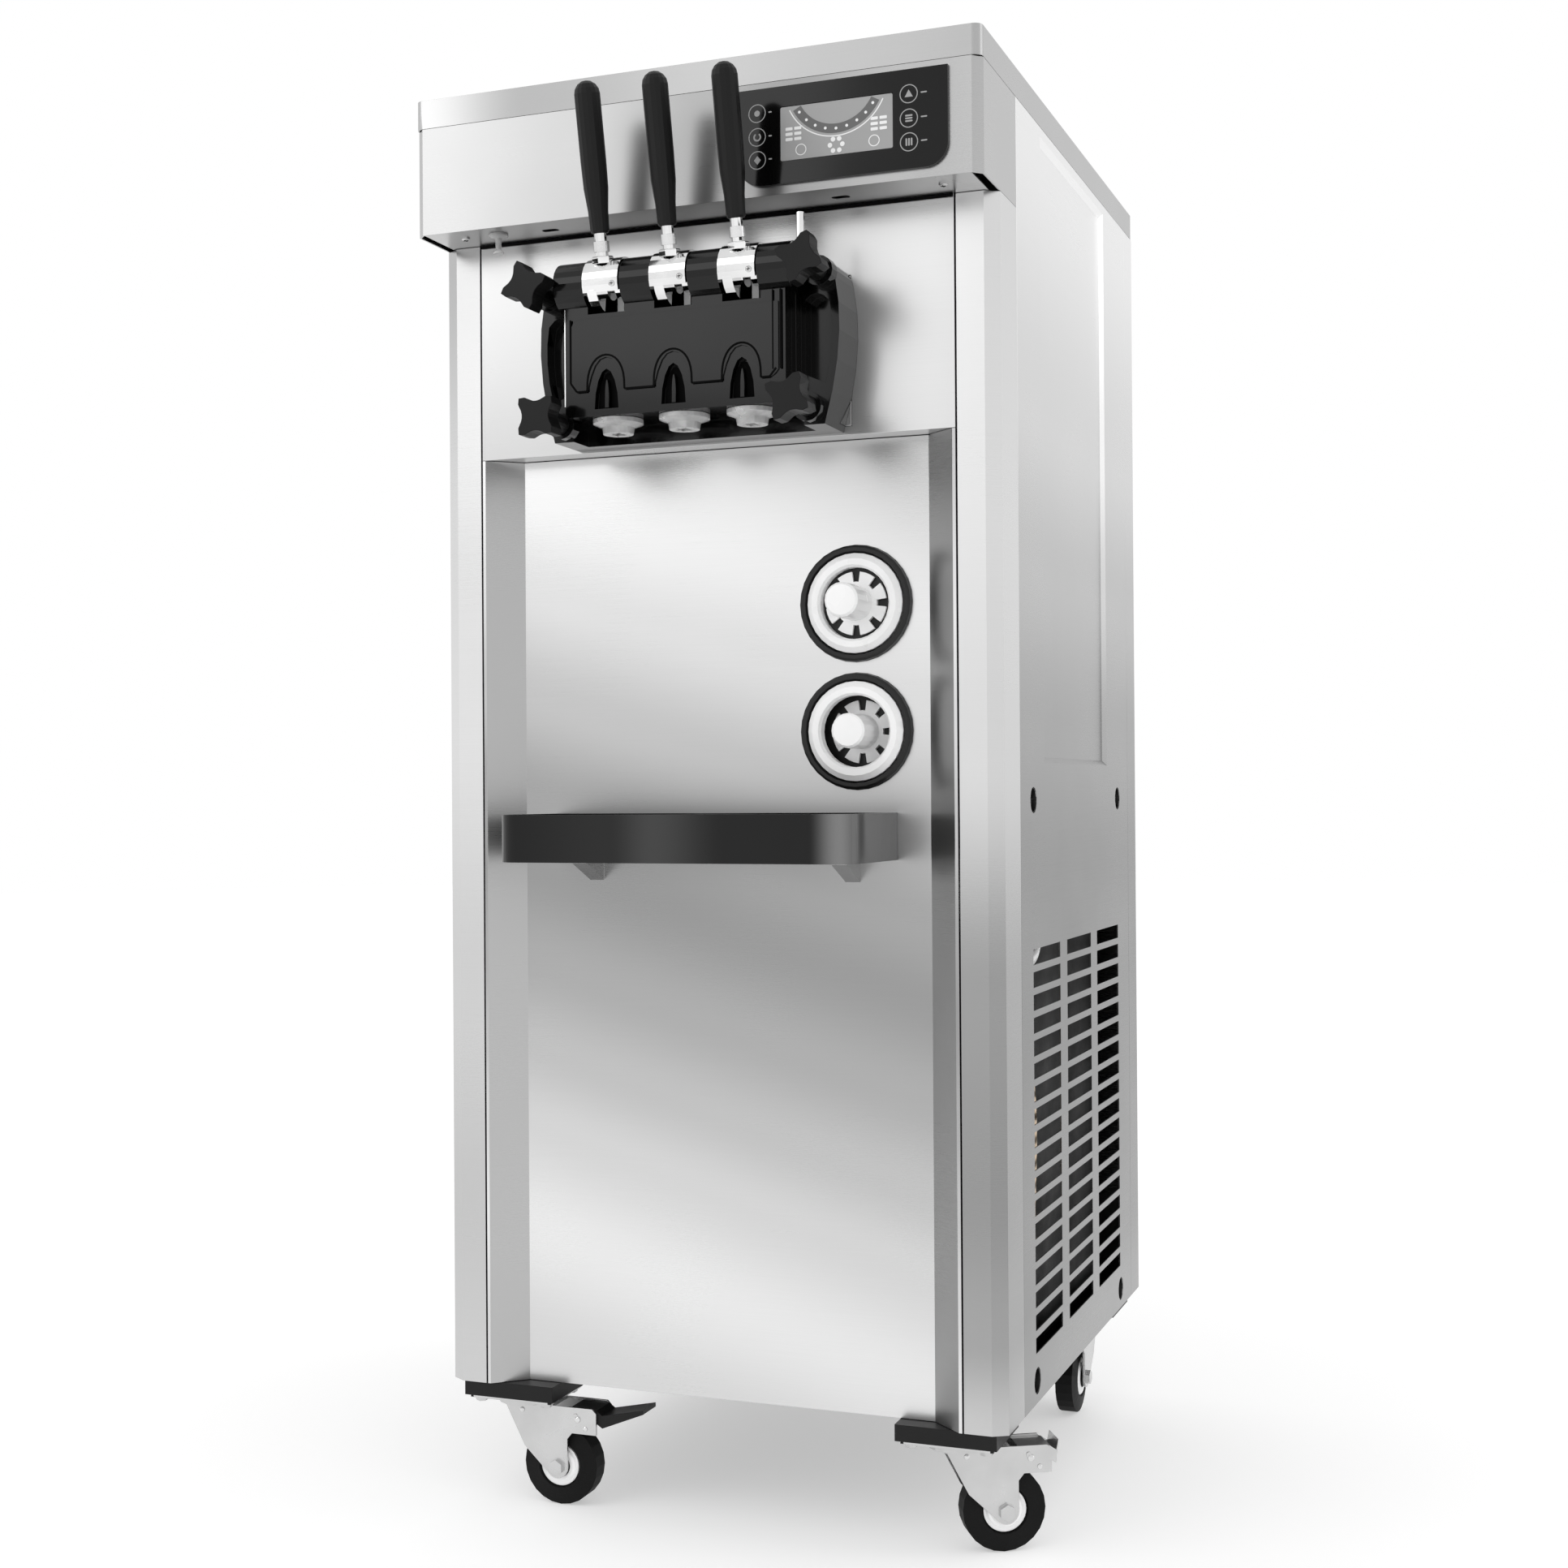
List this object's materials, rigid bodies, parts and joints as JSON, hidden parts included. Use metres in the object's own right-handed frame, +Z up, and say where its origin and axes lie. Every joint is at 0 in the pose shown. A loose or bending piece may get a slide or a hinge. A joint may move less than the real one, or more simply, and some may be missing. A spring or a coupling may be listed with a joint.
{
  "type": "soft ice cream machine",
  "caption": "Floor-standing stainless soft ice cream machine on casters, with lever taps on a black dispensing head, lidded hoppers, drip tray, cup dispensers and louvred sides.",
  "frame": {"origin": "on the floor, below the middle of the whole machine's outer box", "axes": "+Z up; the taps face -Y; +X is to the right of someone facing the taps"},
  "size_m": [0.5664, 0.718, 1.3105],
  "materials": {
    "stainless_steel": "satin brushed stainless sheet",
    "polished_steel": "fine ground stainless",
    "chrome": "bright chrome plating",
    "black_paint": "satin black paint on steel",
    "zinc_plate": "bright zinc plating on pressed steel",
    "caster_rubber": "black rubber tread on a light hub",
    "grey_casting": "painted grey casting",
    "condenser_metal": "finned aluminium and copper with a steel shroud",
    "belt_rubber": "matt black belt",
    "head_block_gloss": "glossy charcoal food-grade plastic",
    "drip_tray_gloss": "glossy black moulding",
    "control_panel_gloss": "glossy black touch panel",
    "black_grip": "satin black moulding",
    "black_plastic": "satin black moulding",
    "white_plastic": "smooth white moulding",
    "clear_plastic": "translucent clear moulding"
  },
  "bodies": {
    "cabinet": {"base_frame": "black_paint", "left_side_panel": "stainless_steel", "right_side_panel": "stainless_steel", "left_corner_post": "stainless_steel", "right_corner_post": "stainless_steel", "back_panel": "stainless_steel", "front_door": "stainless_steel", "head_fascia": "stainless_steel", "upper_front_plate": "stainless_steel", "hopper_deck": "stainless_steel", "control_panel": "control_panel_gloss", "cup_tube_upper": "black_plastic", "cup_collar_upper": "white_plastic", "cup_tube_lower": "black_plastic", "cup_collar_lower": "white_plastic", "freezing_cylinders": "polished_steel", "gear_reducers": "grey_casting", "drive_belt": "belt_rubber", "drive_motor": "grey_casting", "compressor": "black_paint", "condenser": "condenser_metal", "cord_gland": "black_plastic", "head_block": "head_block_gloss", "handle_pin": "chrome", "nozzle_left": "clear_plastic", "nozzle_middle": "clear_plastic", "nozzle_right": "clear_plastic"},
    "lid": {"lid": "stainless_steel"},
    "tap_lever_left": {"lever_left": "chrome", "grip_left": "black_grip"},
    "tap_valve_left": {"valve_left": "white_plastic"},
    "tap_lever_middle": {"lever_middle": "chrome", "grip_middle": "black_grip"},
    "tap_valve_middle": {"valve_middle": "white_plastic"},
    "tap_lever_right": {"lever_right": "chrome", "grip_right": "black_grip"},
    "tap_valve_right": {"valve_right": "white_plastic"},
    "star_knob_upper_left": {"star_knob_upper_left": "black_grip"},
    "star_knob_upper_right": {"star_knob_upper_right": "black_grip"},
    "star_knob_lower_left": {"star_knob_lower_left": "black_grip"},
    "star_knob_lower_right": {"star_knob_lower_right": "black_grip"},
    "drip_tray": {"drip_tray": "drip_tray_gloss"},
    "cup_pusher_upper": {"cup_pusher_upper": "white_plastic"},
    "cup_pusher_lower": {"cup_pusher_lower": "white_plastic"},
    "caster_fork_front_left": {"caster_fork_front_left": "zinc_plate"},
    "caster_wheel_front_left": {"caster_wheel_front_left": "caster_rubber"},
    "brake_pedal_front_left": {"brake_pedal_front_left": "black_paint"},
    "caster_fork_front_right": {"caster_fork_front_right": "zinc_plate"},
    "caster_wheel_front_right": {"caster_wheel_front_right": "caster_rubber"},
    "brake_pedal_front_right": {"brake_pedal_front_right": "zinc_plate"},
    "caster_fork_rear_left": {"caster_fork_rear_left": "zinc_plate"},
    "caster_wheel_rear_left": {"caster_wheel_rear_left": "caster_rubber"},
    "caster_fork_rear_right": {"caster_fork_rear_right": "zinc_plate"},
    "caster_wheel_rear_right": {"caster_wheel_rear_right": "caster_rubber"},
    "motor_pulley": {"motor_pulley": "grey_casting"},
    "reducer_pulley_left": {"reducer_pulley_left": "grey_casting"},
    "beater_left": {"beater_left": "polished_steel"},
    "reducer_pulley_right": {"reducer_pulley_right": "grey_casting"},
    "beater_right": {"beater_right": "polished_steel"},
    "condenser_fan": {"condenser_fan": "black_paint"}
  },
  "joints": [
    {"name": "lid_lift", "type": "slide", "parent": "cabinet", "child": "lid", "axis": [0, 0, 1], "range_m": [0, 0.25]},
    {"name": "lever_pull_left", "type": "hinge", "parent": "cabinet", "child": "tap_lever_left", "pos_m": [-0.07723, -0.30299, 1.118], "axis": [1, 0, 0], "range_deg": [0, 65]},
    {"name": "valve_lift_left", "type": "slide", "parent": "cabinet", "child": "tap_valve_left", "axis": [0, 0, 1], "range_m": [0, 0.0128]},
    {"name": "lever_pull_middle", "type": "hinge", "parent": "cabinet", "child": "tap_lever_middle", "pos_m": [-0.01323, -0.30299, 1.118], "axis": [1, 0, 0], "range_deg": [0, 65]},
    {"name": "valve_lift_middle", "type": "slide", "parent": "cabinet", "child": "tap_valve_middle", "axis": [0, 0, 1], "range_m": [0, 0.0128]},
    {"name": "lever_pull_right", "type": "hinge", "parent": "cabinet", "child": "tap_lever_right", "pos_m": [0.05077, -0.30299, 1.118], "axis": [1, 0, 0], "range_deg": [0, 65]},
    {"name": "valve_lift_right", "type": "slide", "parent": "cabinet", "child": "tap_valve_right", "axis": [0, 0, 1], "range_m": [0, 0.0128]},
    {"name": "knob_turn_upper_left", "type": "hinge", "parent": "cabinet", "child": "star_knob_upper_left", "pos_m": [-0.14123, -0.31499, 1.115], "axis": [0, 1, 0], "continuous": true},
    {"name": "knob_turn_upper_right", "type": "hinge", "parent": "cabinet", "child": "star_knob_upper_right", "pos_m": [0.11477, -0.31499, 1.115], "axis": [0, 1, 0], "continuous": true},
    {"name": "knob_turn_lower_left", "type": "hinge", "parent": "cabinet", "child": "star_knob_lower_left", "pos_m": [-0.13023, -0.31499, 1], "axis": [0, 1, 0], "continuous": true},
    {"name": "knob_turn_lower_right", "type": "hinge", "parent": "cabinet", "child": "star_knob_lower_right", "pos_m": [0.10377, -0.31499, 1], "axis": [0, 1, 0], "continuous": true},
    {"name": "tray_slide", "type": "slide", "parent": "cabinet", "child": "drip_tray", "axis": [0, -1, 0], "range_m": [0, 0.12]},
    {"name": "cup_push_upper", "type": "slide", "parent": "cabinet", "child": "cup_pusher_upper", "axis": [0, 1, 0], "range_m": [0, 0.13]},
    {"name": "cup_push_lower", "type": "slide", "parent": "cabinet", "child": "cup_pusher_lower", "axis": [0, 1, 0], "range_m": [-0.016, 0.13]},
    {"name": "caster_swivel_front_left", "type": "hinge", "parent": "cabinet", "child": "caster_fork_front_left", "pos_m": [-0.22623, -0.18999, 0.099], "axis": [0, 0, 1], "continuous": true},
    {"name": "wheel_roll_front_left", "type": "hinge", "parent": "caster_fork_front_left", "child": "caster_wheel_front_left", "pos_m": [-0.18623, -0.18999, 0.0375], "axis": [0, 1, 0], "continuous": true},
    {"name": "brake_press_front_left", "type": "hinge", "parent": "caster_fork_front_left", "child": "brake_pedal_front_left", "pos_m": [-0.16623, -0.18999, 0.087], "axis": [0, 1, 0], "range_deg": [0, 6]},
    {"name": "caster_swivel_front_right", "type": "hinge", "parent": "cabinet", "child": "caster_fork_front_right", "pos_m": [0.19977, -0.18999, 0.099], "axis": [0, 0, 1], "continuous": true},
    {"name": "wheel_roll_front_right", "type": "hinge", "parent": "caster_fork_front_right", "child": "caster_wheel_front_right", "pos_m": [0.23441, -0.16999, 0.0375], "axis": [-0.5, 0.866, 0], "continuous": true},
    {"name": "brake_press_front_right", "type": "hinge", "parent": "caster_fork_front_right", "child": "brake_pedal_front_right", "pos_m": [0.25173, -0.15999, 0.087], "axis": [-0.5, 0.866, 0], "range_deg": [0, 6]},
    {"name": "caster_swivel_rear_left", "type": "hinge", "parent": "cabinet", "child": "caster_fork_rear_left", "pos_m": [-0.22623, 0.29501, 0.099], "axis": [0, 0, 1], "continuous": true},
    {"name": "wheel_roll_rear_left", "type": "hinge", "parent": "caster_fork_rear_left", "child": "caster_wheel_rear_left", "pos_m": [-0.22623, 0.25501, 0.0375], "axis": [1, 0, 0], "continuous": true},
    {"name": "caster_swivel_rear_right", "type": "hinge", "parent": "cabinet", "child": "caster_fork_rear_right", "pos_m": [0.19977, 0.29501, 0.099], "axis": [0, 0, 1], "continuous": true},
    {"name": "wheel_roll_rear_right", "type": "hinge", "parent": "caster_fork_rear_right", "child": "caster_wheel_rear_right", "pos_m": [0.19977, 0.25501, 0.0375], "axis": [1, 0, 0], "continuous": true},
    {"name": "motor_spin", "type": "hinge", "parent": "cabinet", "child": "motor_pulley", "pos_m": [-0.01323, 0.25401, 0.448], "axis": [0, 1, 0], "continuous": true},
    {"name": "reducer_spin_left", "type": "hinge", "parent": "cabinet", "child": "reducer_pulley_left", "pos_m": [-0.07723, 0.25401, 1.06], "axis": [0, 1, 0], "continuous": true},
    {"name": "beater_spin_left", "type": "hinge", "parent": "cabinet", "child": "beater_left", "pos_m": [-0.07723, -0.03499, 1.06], "axis": [0, 1, 0], "continuous": true},
    {"name": "reducer_spin_right", "type": "hinge", "parent": "cabinet", "child": "reducer_pulley_right", "pos_m": [0.05077, 0.25401, 1.06], "axis": [0, 1, 0], "continuous": true},
    {"name": "beater_spin_right", "type": "hinge", "parent": "cabinet", "child": "beater_right", "pos_m": [0.05077, -0.03499, 1.06], "axis": [0, 1, 0], "continuous": true},
    {"name": "fan_spin", "type": "hinge", "parent": "cabinet", "child": "condenser_fan", "pos_m": [0.14377, 0.05501, 0.348], "axis": [1, 0, 0], "continuous": true}
  ],
  "couplings": [
    {"joint": "valve_lift_left", "follows": "lever_pull_left", "m_per_rad": 0.0112},
    {"joint": "valve_lift_middle", "follows": "lever_pull_middle", "m_per_rad": 0.0112},
    {"joint": "valve_lift_right", "follows": "lever_pull_right", "m_per_rad": 0.0112},
    {"joint": "reducer_spin_left", "follows": "motor_spin", "ratio": 0.57724},
    {"joint": "beater_spin_left", "follows": "motor_spin", "ratio": 0.096206},
    {"joint": "reducer_spin_right", "follows": "motor_spin", "ratio": 0.57724},
    {"joint": "beater_spin_right", "follows": "motor_spin", "ratio": 0.096206}
  ]
}
